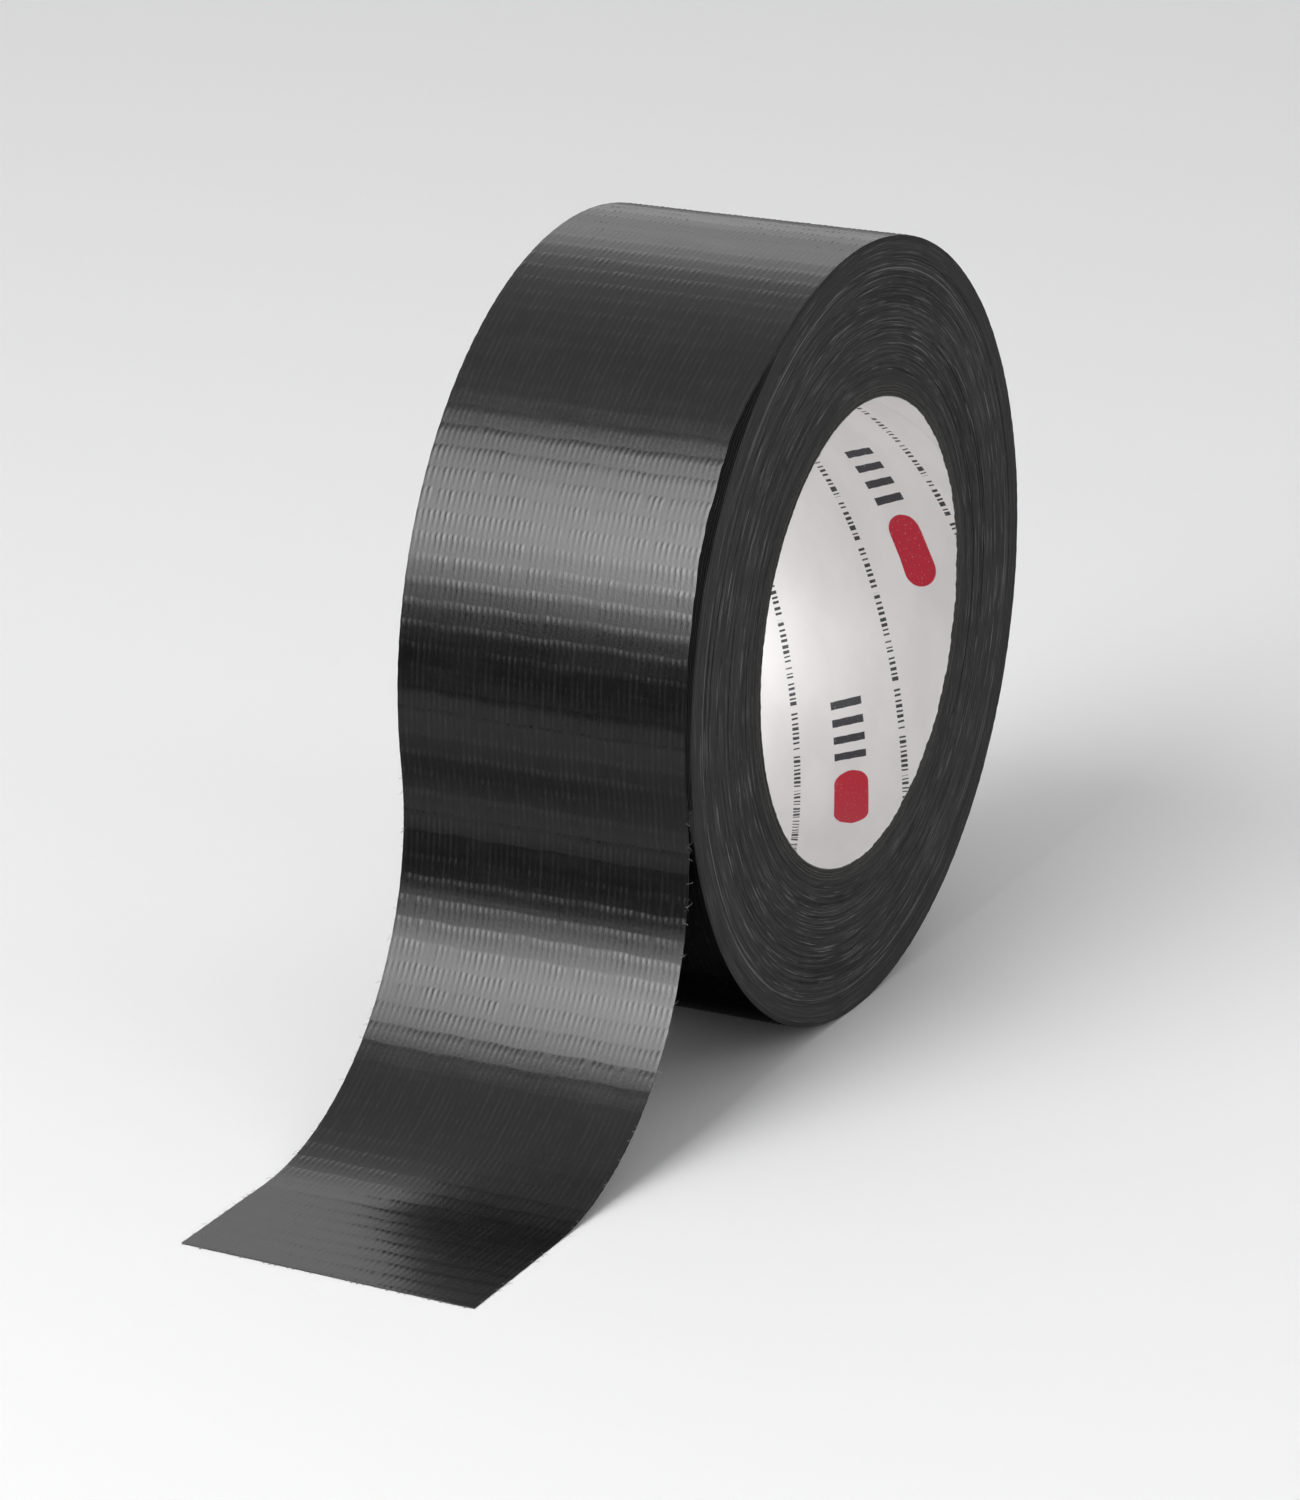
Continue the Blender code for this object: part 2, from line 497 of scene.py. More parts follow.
@dataclass(frozen=True)
class SlippedShadeFinish:
    """The faces of the turns that slipped back, painted nearly black as the shade in the gap under the outer
    one.
    """

    # The near-black colour and the low specular are painted shade for the gap under the outer turn.
    colour: tuple[float, float, float] = (0.0008, 0.0008, 0.0009)
    dusty_shade: tuple[float, float, float] = (0.0040, 0.0040, 0.0042)
    roughness: float = 0.75

    def material(self) -> bpy.types.Material:
        """Painted shade: nearly black and dull, with a little dust.

        Returns:
            The material.
        """
        graph = Graph("slipped_turns")
        radius, arc, side = graph.coordinates()
        dust = graph.noise(graph.vector(radius * 3.0, arc * 0.6, side * 3.0), 3, 0.6)
        return graph.surface(
            Base_Color=graph.blend(dust.ramp(0.45, 0.75), self.colour, self.dusty_shade),
            Roughness=self.roughness + (dust - 0.5) * 0.2,
            Specular_IOR_Level=0.08,
        )


@dataclass(frozen=True)
class BoardFinish:
    """Grey paperboard, as one ply of the core."""

    name: str
    colour: tuple[float, float, float]
    fibre: tuple[float, float, float]
    roughness: float = 0.86
    grain: float = 0.03 * MM

    def material(self) -> bpy.types.Material:
        """Matted fibres, drawn out round the tube.

        Returns:
            The material.
        """
        graph = Graph(self.name)
        radius, arc, side = graph.coordinates()
        mat = graph.noise(graph.vector(radius * 9.0, arc * 0.9, side * 0.9), 4, 0.65)
        cloud = graph.noise(graph.vector(radius * 0.7, arc * 0.16, side * 0.2), 2)
        tone = (mat * 0.7 + cloud * 0.3).ramp(0.36, 0.66)
        return graph.surface(
            Base_Color=graph.blend(tone, self.colour, self.fibre),
            Roughness=self.roughness + (cloud - 0.5) * 0.1,
            Normal=graph.bump(mat, self.grain),
        )


@dataclass(frozen=True)
class LinerFinish:
    """Satin silver-white paper, printed with slanting rows of dashes and plain marks."""

    paper: tuple[float, float, float] = (0.81, 0.80, 0.79)
    cloudy: tuple[float, float, float] = (0.75, 0.74, 0.735)
    ink: tuple[float, float, float] = (0.035, 0.035, 0.04)
    red: tuple[float, float, float] = (0.50, 0.008, 0.030)
    roughness: float = 0.46
    grain: float = 0.02 * MM
    row_pitch_mm: float = 18.2
    rule_row_mm: float = 10.6
    rule_height_mm: float = 1.1
    dash_mm: float = 0.95
    group_mm: float = 8.3
    mark_row_mm: float = 1.5
    mark_pitch_mm: float = 84.0
    mark_start_mm: float = -46.0
    bar_pitch_mm: float = 3.35
    bar_height_mm: float = 5.4
    bars_mm: tuple[float, float] = (8.0, 21.5)
    pill_length_mm: float = 7.2

    def material(self) -> bpy.types.Material:
        """The paper's soft gloss and its print.

        Returns:
            The material.
        """
        graph = Graph("printed_liner")
        along, across, _ = graph.coordinates()
        rules = self._rules(graph, along, across)
        bar, pill = self._marks(along, across)
        cloud = graph.noise(graph.vector(along * 0.05, across * 0.10, 2.0), 3, 0.55)
        fibre = graph.noise(graph.vector(along * 1.6, across * 3.0, 5.0), 3, 0.6)
        worn = 1 - fibre.ramp(0.60, 0.74) * 0.35
        paper = graph.blend(cloud.ramp(0.3, 0.7), self.cloudy, self.paper)
        inked = graph.blend(rules.greatest(bar) * worn, paper, self.ink)
        return graph.surface(
            Base_Color=graph.blend(pill * worn, inked, self.red),
            Roughness=self.roughness + (fibre - 0.5) * 0.16 + (cloud - 0.5) * 0.10,
            Metallic=0.06,
            Normal=graph.bump(fibre * 0.6 + cloud * 2.0, self.grain),
        )

    def _rules(self, graph: Graph, along: Wire, across: Wire) -> Wire:
        """Rows of small dashes, in groups with gaps between.

        Args:
            graph: the material's graph.
            along: millimetres along the printed strip.
            across: millimetres across it.

        Returns:
            Where they show, from 0 to 1.
        """
        half = self.row_pitch_mm / 2
        offset = (across - self.rule_row_mm + half) % self.row_pitch_mm - half
        line = abs(offset).ramp(self.rule_height_mm / 2 + 0.07, self.rule_height_mm / 2 - 0.07)
        jitter = graph.noise(graph.vector(along * 0.9, 3.0), 1)
        dash = ((along / self.dash_mm + jitter * 1.6) % 1.0).ramp(0.52, 0.42)
        group = (along / self.group_mm % 1.0).ramp(0.90, 0.86)
        return line * dash * group

    def _marks(self, along: Wire, across: Wire) -> tuple[Wire, Wire]:
        """A row of four bars beside a pill shape, again and again.

        Args:
            along: millimetres along the printed strip.
            across: millimetres across it.

        Returns:
            Where the bars show and where the pill shows, each from 0 to 1.
        """
        shifted = across - self.mark_row_mm + self.row_pitch_mm / 2
        row = (shifted / self.row_pitch_mm).floor()
        high = shifted % self.row_pitch_mm - self.row_pitch_mm / 2
        # Each row starts half a mark further on, and a pill's left half belongs to the mark on its right.
        moved = along - self.mark_start_mm + row * (self.mark_pitch_mm / 2)
        place = (moved + 10) % self.mark_pitch_mm - 10
        past_middle = (abs(place) - self.pill_length_mm / 2).greatest(0.0)
        pill = (past_middle * past_middle + high * high).ramp(8.6, 7.9)
        first, last = self.bars_mm
        inside = place.ramp(first, first + 0.1) * place.ramp(last, last - 0.1)
        bar = abs((place - first) / self.bar_pitch_mm % 1.0 - 0.5).ramp(0.235, 0.205)
        tall = abs(high).ramp(self.bar_height_mm / 2 + 0.05, self.bar_height_mm / 2 - 0.05)
        return bar * inside * tall, pill


@dataclass(frozen=True)
class FloorFinish:
    """A pale matt studio sweep."""

    colour: tuple[float, float, float] = (0.62, 0.62, 0.625)
    paler: tuple[float, float, float] = (0.6324, 0.6324, 0.6375)

    def material(self) -> bpy.types.Material:
        """Nearly even paint, with the faintest cloud.

        Returns:
            The material.
        """
        graph = Graph("studio_floor")
        place = graph.node("ShaderNodeTexCoord", {}, {}, "Object")
        cloud = graph.noise(place, 2)
        return graph.surface(Base_Color=graph.blend(cloud, self.colour, self.paler), Roughness=0.9)


# ----------------------------------------------------------------------------------------------------- form


class Draft:
    """The points and faces of one piece while it is being built."""

    def __init__(self) -> None:
        """Starts empty."""
        self.points: list[np.ndarray] = []
        self.places: list[np.ndarray] = []
        self.quads: list[np.ndarray] = []
        self.quad_slots: list[np.ndarray] = []
        self.caps: list[tuple[list[int], int]] = []
        self.count = 0

    def lay(self, points: np.ndarray, places: np.ndarray) -> np.ndarray:
        """Adds a grid of points.

        Args:
            points: where they are, with x, y, z last.
            places: the finish's own coordinates there, in millimetres.

        Returns:
            The points' numbers, in the grid's shape.
        """
        shape = points.shape[:-1]
        total = int(np.prod(shape))
        self.points.append(points.reshape(total, 3))
        self.places.append(places.reshape(total, 3))
        numbers = np.arange(self.count, self.count + total).reshape(shape)
        self.count += total
        return numbers

    def skin(self, grid: np.ndarray, slot: int = 0, flip: bool = False) -> None:
        """Covers a grid of point numbers with faces.

        Args:
            grid: the numbers, in rows and columns.
            slot: the material slot.
            flip: turns the faces round.
        """
        a, b, c, d = grid[:-1, :-1], grid[1:, :-1], grid[1:, 1:], grid[:-1, 1:]
        corners = (a, d, c, b) if flip else (a, b, c, d)
        quads = np.stack([corner.ravel() for corner in corners], axis=1)
        self.quads.append(quads)
        self.quad_slots.append(np.full(len(quads), slot))

    def cap(self, rim: Sequence[int], slot: int = 0) -> None:
        """Closes a rim of point numbers with one face."""
        self.caps.append((list(map(int, rim)), slot))

    def make(
        self, name: str, finishes: Sequence[bpy.types.Material], sharp: float = 40
    ) -> bpy.types.Object:
        """Turns the draft into an object.

        Args:
            name: the object's name.
            finishes: its materials, in slot order.
            sharp: the angle between faces, in degrees, from which their edge stays sharp.

        Returns:
            The object, linked to the scene.
        """
        quads = np.concatenate(self.quads)
        loops = np.concatenate([quads.ravel(), *(np.array(rim) for rim, _ in self.caps)])
        sizes = np.array([4] * len(quads) + [len(rim) for rim, _ in self.caps])
        slots = np.concatenate([*self.quad_slots, np.array([slot for _, slot in self.caps], int)])
        mesh = bpy.data.meshes.new(name)
        mesh.vertices.add(self.count)
        mesh.vertices.foreach_set("co", np.concatenate(self.points).astype(np.float32).ravel())
        mesh.loops.add(len(loops))
        mesh.loops.foreach_set("vertex_index", loops.astype(np.int32))
        mesh.polygons.add(len(sizes))
        mesh.polygons.foreach_set("loop_start", (np.cumsum(sizes) - sizes).astype(np.int32))
        mesh.polygons.foreach_set("material_index", slots.astype(np.int32))
        mesh.update(calc_edges=True)
        mesh.validate()
        if self._volume(mesh) < 0:
            mesh.flip_normals()
        carried = mesh.attributes.new(COORDINATES, "FLOAT_VECTOR", "POINT")
        carried.data.foreach_set("vector", np.concatenate(self.places).astype(np.float32).ravel())
        mesh.shade_smooth()
        mesh.set_sharp_from_angle(angle=math.radians(sharp))
        for finish in finishes:
            mesh.materials.append(finish)
        obj = bpy.data.objects.new(name, mesh)
        bpy.context.scene.collection.objects.link(obj)
        return obj

    @staticmethod
    def _volume(mesh: bpy.types.Mesh) -> float:
        """Six times the enclosed volume.

        Args:
            mesh: a closed mesh.

        Returns:
            It, negative where the faces point inwards.
        """
        mesh.calc_loop_triangles()
        corners = np.empty(len(mesh.loop_triangles) * 3, np.int32)
        mesh.loop_triangles.foreach_get("vertices", corners)
        points = np.empty(len(mesh.vertices) * 3, np.float32)
        mesh.vertices.foreach_get("co", points)
        a, b, c = points.reshape(-1, 3)[corners.reshape(-1, 3)].transpose(1, 0, 2).astype(float)
        return float(np.einsum("ij,ij->i", a, np.cross(b, c)).sum())


def waves(seed: int, place: np.ndarray, lengths: Sequence[float]) -> np.ndarray:
    """A wandering line: sines of several wavelengths with fixed random phases.

    Args:
        seed: picks the phases.
        place: where it is read.
        lengths: the wavelengths, in the units of place.

    Returns:
        Values from about -1 to 1.
    """
    phases = np.random.default_rng(seed).uniform(0, 2 * math.pi, len(lengths))
    total = sum(np.sin(2 * math.pi * place / length + phase) for length, phase in zip(lengths, phases))
    return total / len(lengths) ** 0.5


def round_waves(seed: int, angle: np.ndarray, orders: Sequence[int]) -> np.ndarray:
    """A wandering line that closes after a whole turn: sines of several whole orders."""
    return waves(seed, angle, [2 * math.pi / order for order in orders])


def rise(value: np.ndarray, start: float, end: float) -> np.ndarray:
    """Goes smoothly from 0 at start to 1 at end."""
    share = np.clip((value - start) / (end - start), 0, 1)
    return share * share * (3 - 2 * share)


def place_on_body(obj: bpy.types.Object, body: Body, node: str) -> None:
    """Makes a piece ride on one body and stand for one node.

    Args:
        obj: the piece.
        body: the body it moves with.
        node: the frame's node that it replaces.
    """
    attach(obj, body.value)
    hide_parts(node)


@dataclass(frozen=True)
class TapePath:
    """Where the tape runs in the roll's end view. Runs are measured from the peel line to the cut end."""

    roll_radius: float
    thickness: float
    axis_height: float
    peel_drop: float
    reach: float
    width: float
    clearance: float = 0.004 * MM

    @classmethod
    def from_frame(cls) -> "TapePath":
        """Reads the path's few sizes off the frame.

        Returns:
            The path.
        """
        low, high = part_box("core_liner")
        axis = (low.z + high.z) / 2
        film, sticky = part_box("tail_end_film"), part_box("tail_end_adhesive")
        thickness = film[1].z - sticky[0].z
        x, _, z = next(joint["pos_m"] for joint in frame["joints"] if joint["name"] == "tail_peel")
        middle = math.hypot(x, z - axis)
        drop = math.atan2(axis - z, -x)
        return cls(middle + thickness / 2, thickness, axis, drop, -film[0].x, film[1].y - film[0].y)

    @property
    def peel_radius(self) -> float:
        """The radius of the tape's sticky side where it leaves the roll."""
        return self.roll_radius - self.thickness

    @property
    def peel_angle(self) -> float:
        """The direction of the peel line from the axis."""
        return math.pi + self.peel_drop

    @property
    def arc_radius(self) -> float:
        """The radius of the free end's arc, tangent to the roll and to the ground."""
        sine = math.sin(self.peel_drop)
        return (self.axis_height - self.peel_radius * sine) / (1 + sine)

    @property
    def arc_x(self) -> float:
        """The x of that arc's centre."""
        return -(self.peel_radius + self.arc_radius) * math.cos(self.peel_drop)

    @property
    def arc_length(self) -> float:
        """The run at which the free end lies flat."""
        return self.arc_radius * (math.pi / 2 + self.peel_drop)

    @property
    def length(self) -> float:
        """The run of the cut end."""
        return self.arc_length + self.reach + self.arc_x

    @property
    def turn_length(self) -> float:
        """The run of one whole turn."""
        return 2 * math.pi * self.peel_radius

    def radius(self, back: np.ndarray) -> np.ndarray:
        """The radius of the tape's face, an angle back along the tape from the peel line."""
        return self.roll_radius - self.thickness * back / (2 * math.pi)

    def at(self, run: np.ndarray, across: np.ndarray, depth: np.ndarray) -> np.ndarray:
        """Points of the tape.

        Args:
            run: how far along the tape, negative on the roll.
            across: y.
            depth: how far above the sticky side.

        Returns:
            The points, with x, y, z last.
        """
        run, across, depth = np.broadcast_arrays(run, across, depth)
        back = -run / self.peel_radius
        wound = self.radius(back) - self.thickness + depth
        angle = self.peel_angle - back
        swing = self.peel_drop - run / self.arc_radius
        bent = self.arc_radius - depth
        on_roll, on_arc = run < 0, run < self.arc_length
        x = np.where(
            on_roll,
            wound * np.cos(angle),
            np.where(on_arc, self.arc_x + bent * np.cos(swing), self.arc_x + self.arc_length - run),
        )
        # The roll's weight presses the tape flat on the ground.
        pressed = np.maximum(self.thickness - depth, 0)
        z = np.where(
            on_roll,
            np.maximum(self.axis_height + wound * np.sin(angle), pressed),
            np.where(on_arc, self.arc_radius + bent * np.sin(swing), depth),
        )
        return np.stack([x, across, z], axis=-1)

    def round_axis(self, radius: np.ndarray, angle: np.ndarray, across: np.ndarray) -> np.ndarray:
        """Points round the roll's axis, kept above the outer turn's tape where that lies on the ground.

        Args:
            radius: their distance from the axis.
            angle: their direction from it.
            across: y.

        Returns:
            The points, with x, y, z last.
        """
        radius, angle, across = np.broadcast_arrays(radius, angle, across)
        height = np.maximum(self.axis_height + radius * np.sin(angle), self.thickness + self.clearance)
        return np.stack([radius * np.cos(angle), across, height], axis=-1)


@dataclass(frozen=True)
class Weave:
    """The relief that the cloth's yarns press into the film: long ridges, and a sharp tick at each crossing.

    The _waves fields are wavelengths, for the slow changes along the tape.
    """

    warp_pitch: float = 1.0 * MM
    weft_pitch: float = 3.45 * MM
    ridge: float = 0.0034 * MM
    tick: float = 0.062 * MM
    weft: float = 0.010 * MM
    wander: float = 0.14 * MM
    slow_swell: float = 0.012 * MM
    fine_swell: float = 0.0010 * MM
    missing: float = 0.07
    strength_spread: float = 0.26
    border: float = 0.06 * MM
    clear: float = 0.35 * MM
    tick_waves: tuple[float, ...] = (61 * MM, 23 * MM)
    ridge_waves: tuple[float, ...] = (37 * MM, 13 * MM, 5.3 * MM)
    drift_waves: tuple[float, ...] = (47 * MM, 19 * MM, 8.1 * MM)
    slow_waves: tuple[float, ...] = (29 * MM, 17.3 * MM, 9.1 * MM)
    fine_waves: tuple[float, ...] = (5.9 * MM, 3.7 * MM, 2.3 * MM)
    seed: int = 7
    # Four columns to a yarn: the valley, its flank, its crown and the other flank.
    column_places: tuple[float, ...] = (0.0, 0.29, 0.5, 0.71)
    column_ridge: tuple[float, ...] = (-1.0, 0.3, 1.0, 0.3)
    column_tick: tuple[float, ...] = (-0.22, 0.12, 1.0, 0.12)
    # Four rows to a crossing: where the film is still level, the tick's foot, its top and where it fades.
    row_places: tuple[float, ...] = (0.0, 0.32, 0.62, 1.55)
    row_tick: tuple[float, ...] = (0.0, -0.10, 1.0, 0.0)
    row_weft: tuple[float, ...] = (0.0, -0.1, 1.0, 0.35)
    rows_each_way: int = 130

    def yarns(self, width: float) -> int:
        """How many warp yarns the tape has."""
        return round(width / self.warp_pitch)

    def columns(self, width: float) -> tuple[np.ndarray, np.ndarray]:
        """The columns of points across the tape.

        Args:
            width: the tape's width.

        Returns:
            Each column's distance from the front edge, and which of the four kinds it is.
        """
        yarns = self.yarns(width)
        places = np.arange(yarns)[:, None] + np.array(self.column_places)[None, :]
        places = np.append(places.ravel(), yarns) * width / yarns
        return places, np.arange(len(places)) % len(self.column_places)

    def rows(self, first: float, last: float) -> tuple[np.ndarray, np.ndarray, np.ndarray]:
        """The rows of points along a stretch of tape.

        Args:
            first: the run at its start.
            last: the run at its end.

        Returns:
            Each row's run, the number of its crossing, and which of the four kinds it is.
        """
        crossings = np.arange(-self.rows_each_way, self.rows_each_way)
        runs = crossings[:, None] * self.weft_pitch + np.array(self.row_places)[None, :] * MM
        numbers = np.repeat(crossings, len(self.row_places))
        kinds = np.tile(np.arange(len(self.row_places)), len(crossings))
        inside = (runs.ravel() > first + self.clear) & (runs.ravel() < last - self.clear)
        start, end = [first, first + self.border], [last - self.border, last]
        runs = np.concatenate([start, runs.ravel()[inside], end])
        numbers = np.concatenate([[0, 0], numbers[inside], [0, 0]])
        kinds = np.concatenate([[-1, -1], kinds[inside], [-1, -1]])
        return runs, numbers, kinds

    def relief(self, runs: np.ndarray, numbers: np.ndarray, kinds: np.ndarray, width: float) -> np.ndarray:
        """How far each point of the film stands up.

        Args:
            runs: each row's run.
            numbers: each row's crossing.
            kinds: each row's kind.
            width: the tape's width.

        Returns:
            A height for each row and column.
        """
        places, column_kinds = self.columns(width)
        count = self.yarns(width)
        yarns = np.minimum((places / width * count).astype(int), count - 1)
        draw = np.random.default_rng(self.seed)
        size = (2 * self.rows_each_way, count)
        strength = draw.normal(1.0, self.strength_spread, size).clip(0.2, 1.8)
        strength *= draw.uniform(size=size) > self.missing
        strength = strength[numbers + self.rows_each_way][:, yarns]
        patch = 1 + 0.35 * waves(21, runs[:, None] + 1.7 * places[None, :], self.tick_waves)
        tick = np.append(self.row_tick, 0.0)[kinds][:, None] * np.array(self.column_tick)[column_kinds]
        long = 1 + 0.6 * waves(22, runs[:, None] + 9 * places[None, :], self.ridge_waves)
        ridge = np.array(self.column_ridge)[column_kinds] * long * self.ridge
        weft = np.append(self.row_weft, 0.0)[kinds][:, None] * self.weft
        return ridge + weft + tick * strength * patch.clip(0.4, 1.6) * self.tick

    def sway(self, runs: np.ndarray, places: np.ndarray) -> np.ndarray:
        """How far each row's points stray along the tape, because the weft isn't quite straight."""
        return self.wander * waves(31, places[None, :] + 0.9 * runs[:, None], self.drift_waves)

    def swell(self, runs: np.ndarray, places: np.ndarray) -> np.ndarray:
        """The tape's own slow unevenness, which breaks up long reflections.

        Args:
            runs: each row's run.
            places: each column's distance from the front edge.

        Returns:
            A height for each row and column.
        """
        slow = waves(41, runs[:, None] + 0.12 * places[None, :], self.slow_waves)
        fine = waves(42, runs[:, None] - 0.05 * places[None, :], self.fine_waves)
        return slow * self.slow_swell + fine * self.fine_swell


@dataclass
class TapeBuilder:
    """Makes the layers of any stretch of the tape.

    The turns slip back from the roll's side between the two slip_degrees, come partly forward again
    between the two return_degrees, and lie straight once the free end is slip_fade long.
    """

    path: TapePath
    weave: Weave
    film: bpy.types.Material
    sticky: bpy.types.Material
    edge: bpy.types.Material
    yarn: bpy.types.Material
    sticky_bottom: float = 0.016 * MM
    sticky_top: float = 0.05 * MM
    cloth_bottom: float = 0.053 * MM
    cloth_middle: float = 0.076 * MM
    cloth_top: float = 0.095 * MM
    film_bottom: float = 0.098 * MM
    film_margin: float = 0.012 * MM
    warp_half: float = 0.17 * MM
    weft_half: float = 0.22 * MM
    cut_slant: float = 0.8 * MM
    cut_zone: float = 12 * MM
    slip: float = 1.35 * MM
    slip_degrees: tuple[float, float] = (118, 138)
    return_degrees: tuple[float, float] = (146, 176)
    slip_fade: float = 55 * MM
    edge_rag: float = 0.03 * MM
    edge_gaps: tuple[float, float] = (0.05 * MM, 0.08 * MM)
    swell_stop: tuple[float, float] = (85 * MM, 99 * MM)
    hair_pitch: float = 0.9 * MM
    hair_half: float = 0.03 * MM
    hair_root: float = 0.3 * MM

    def slope_cut(self, runs: np.ndarray, share: np.ndarray) -> np.ndarray:
        """Moves the last rows so that the cut end is a little slanted and not quite straight.

        Args:
            runs: each point's run.
            share: how far across the tape it is, from 0 to 1.

        Returns:
            The runs, moved.
        """
        near = rise(runs, self.path.length - self.cut_zone, self.path.length)
        ragged = waves(51, share * self.path.width, (14 * MM, 3.1 * MM, 1.3 * MM)) * 0.06 * MM
        return runs + near * (self.cut_slant * (1 - 2 * share) + ragged)

    def inset(self, runs: np.ndarray) -> np.ndarray:
        """How far the front edge stands back from the roll's side where the last turns have slipped.

        Args:
            runs: each row's run.

        Returns:
            A distance for each row.
        """
        degrees = np.degrees(self.path.peel_angle + runs / self.path.peel_radius)
        slipped = rise(degrees, *self.slip_degrees) * (1 - 0.60 * rise(degrees, *self.return_degrees))
        off = 1 - rise(runs, 0, self.slip_fade)
        wobble = 1 + 0.10 * waves(61, runs, (19 * MM, 7 * MM))
        return slipped * off * wobble * self.slip + 0.03 * MM

    def edges(self, runs: np.ndarray) -> tuple[np.ndarray, np.ndarray]:
        """Where the two slit edges are.

        Args:
            runs: each row's run.

        Returns:
            The y of the front edge and of the back edge, row by row.
        """
        ragged = waves(62, runs, (2.9 * MM, 1.4 * MM)) * self.edge_rag
        other = waves(63, runs, (3.3 * MM, 1.7 * MM)) * self.edge_rag
        half = self.path.width / 2
        front_gap, back_gap = self.edge_gaps
        return -half + self.inset(runs) + ragged + front_gap, half + other - back_gap

    def face(self, runs: np.ndarray, places: np.ndarray, depth: np.ndarray, height: np.ndarray) -> tuple:
        """The points of one face of a stretch, and their coordinates.

        Args:
            runs: each row's run.
            places: each column's distance from the front edge.
            depth: the face's height above the sticky side.
            height: the relief, for the third coordinate.

        Returns:
            The points and the coordinates in millimetres.
        """
        share = places / self.path.width
        front, back = self.edges(runs)
        across = front[:, None] + (back - front)[:, None] * share[None, :]
        after_start = rise(runs, runs[0], runs[0] + 2 * MM)
        before_end = 1 - rise(runs, runs[-1] - 2 * MM, runs[-1])
        inner = np.minimum(after_start, before_end)
        run = runs[:, None] + self.weave.sway(runs, places) * inner[:, None]
        run = self.slope_cut(run, np.broadcast_to(share[None, :], run.shape))
        points = self.path.at(run, across, depth)
        layers = [places[None, :], runs[:, None], height]
        coordinates = np.stack(np.broadcast_arrays(*layers), axis=-1) / MM
        return points, coordinates

    def slab(self, name: str, first: float, last: float, layer: Layer) -> bpy.types.Object:
        """A closed film or adhesive layer of a stretch.

        Args:
            name: the piece's name.
            first: the run at its start.
            last: the run at its end.
            layer: which of the two it is.

        Returns:
            The piece.
        """
        runs, numbers, kinds = self.weave.rows(first, last)
        places, _ = self.weave.columns(self.path.width)
        relief = self.weave.relief(runs, numbers, kinds, self.path.width)
        if layer is Layer.FILM:
            swell = self.weave.swell(runs, places) * (1 - rise(runs, *self.swell_stop))[:, None]
            outer = self.path.thickness - self.film_margin + relief + swell
            inner, finish = self.film_bottom, self.film
        else:
            outer = self.sticky_bottom - relief * 0.22
            inner, finish = self.sticky_top, self.sticky
        draft = Draft()
        top = draft.lay(*self.face(runs, places, outer, relief))
        zero = np.zeros((len(runs), 2))
        bottom = draft.lay(*self.face(runs, places[[0, -1]], inner + zero, zero))
        draft.skin(top, 0)
        draft.skin(bottom, 1, flip=True)
        draft.skin(np.stack([bottom[:, 0], top[:, 0]], axis=1), 1)
        draft.skin(np.stack([top[:, -1], bottom[:, 1]], axis=1), 1)
        draft.cap([*top[0, :], bottom[0, 1], bottom[0, 0]], 1)
        draft.cap([*top[-1, ::-1], bottom[-1, 0], bottom[-1, 1]], 1)
        return draft.make(name, [finish, self.edge], 60)

    def cloth(self, name: str, first: float, last: float, step: float) -> bpy.types.Object:
        """The yarns of a stretch, flattened between the film and the adhesive.

        Args:
            name: the piece's name.
            first: the run at its start.
            last: the run at its end.
            step: how far apart a warp yarn's cross-sections are.

        Returns:
            The piece.
        """
        draft = Draft()
        width, draw = self.path.width, np.random.default_rng(71)
        yarns, pitch = self.weave.yarns(width), self.weave.weft_pitch
        at_cut = last >= self.path.length
        warp = (self.cloth_bottom, self.cloth_middle, self.warp_half)
        weft = (self.cloth_middle + 0.002 * MM, self.cloth_top, self.weft_half)
        for yarn in range(yarns):
            spill = draw.uniform(0.05, 0.55) * MM if at_cut else 0.0
            runs = np.append(np.arange(first, last - step / 2, step), last + spill)
            centre = (yarn + 0.5) * width / yarns + draw.normal(0, 0.03) * MM
            self._yarn(draft, runs, np.full(len(runs), centre), *warp, is_warp=True)
        for row in range(math.ceil(first / pitch), math.floor(last / pitch) + 1):
            places = np.linspace(0.12 * MM, width - 0.12 * MM, 26)
            runs = np.full(len(places), row * pitch + 0.3 * MM)
            if first + 0.6 * MM <= runs[0] <= last - 0.6 * MM:
                runs = runs + self.weave.sway(runs[:1], places)[0]
                self._yarn(draft, runs, places, *weft, is_warp=False)
        if first >= 0:
            self._hairs(draft, first, last)
        return draft.make(name, [self.yarn], 50)

    def _hairs(self, draft: Draft, first: float, last: float) -> None:
        """Adds the fine fibres that stand out of the free end's two slit edges.

        Args:
            draft: the cloth so far.
            first: the run at the stretch's start.
            last: the run at its end.
        """
        draw = np.random.default_rng(83)
        share = np.linspace(0, 1, 7)
        for number in range(round((last - first) / self.hair_pitch)):
            run = draw.uniform(first + 1.5 * MM, last - 1.5 * MM)
            reach = draw.uniform(0.2, 0.7) ** 1.5 * 1.6 * MM
            place = self.hair_root - (self.hair_root + reach) * share
            if number % 2:
                place = self.path.width - place
            runs = run + draw.normal(0, 0.5) * MM * share**2
            low = self.sticky_top + draw.uniform(0.0, 0.1) * MM
            self._yarn(draft, runs, place, low, low + 0.05 * MM, self.hair_half, is_warp=False)

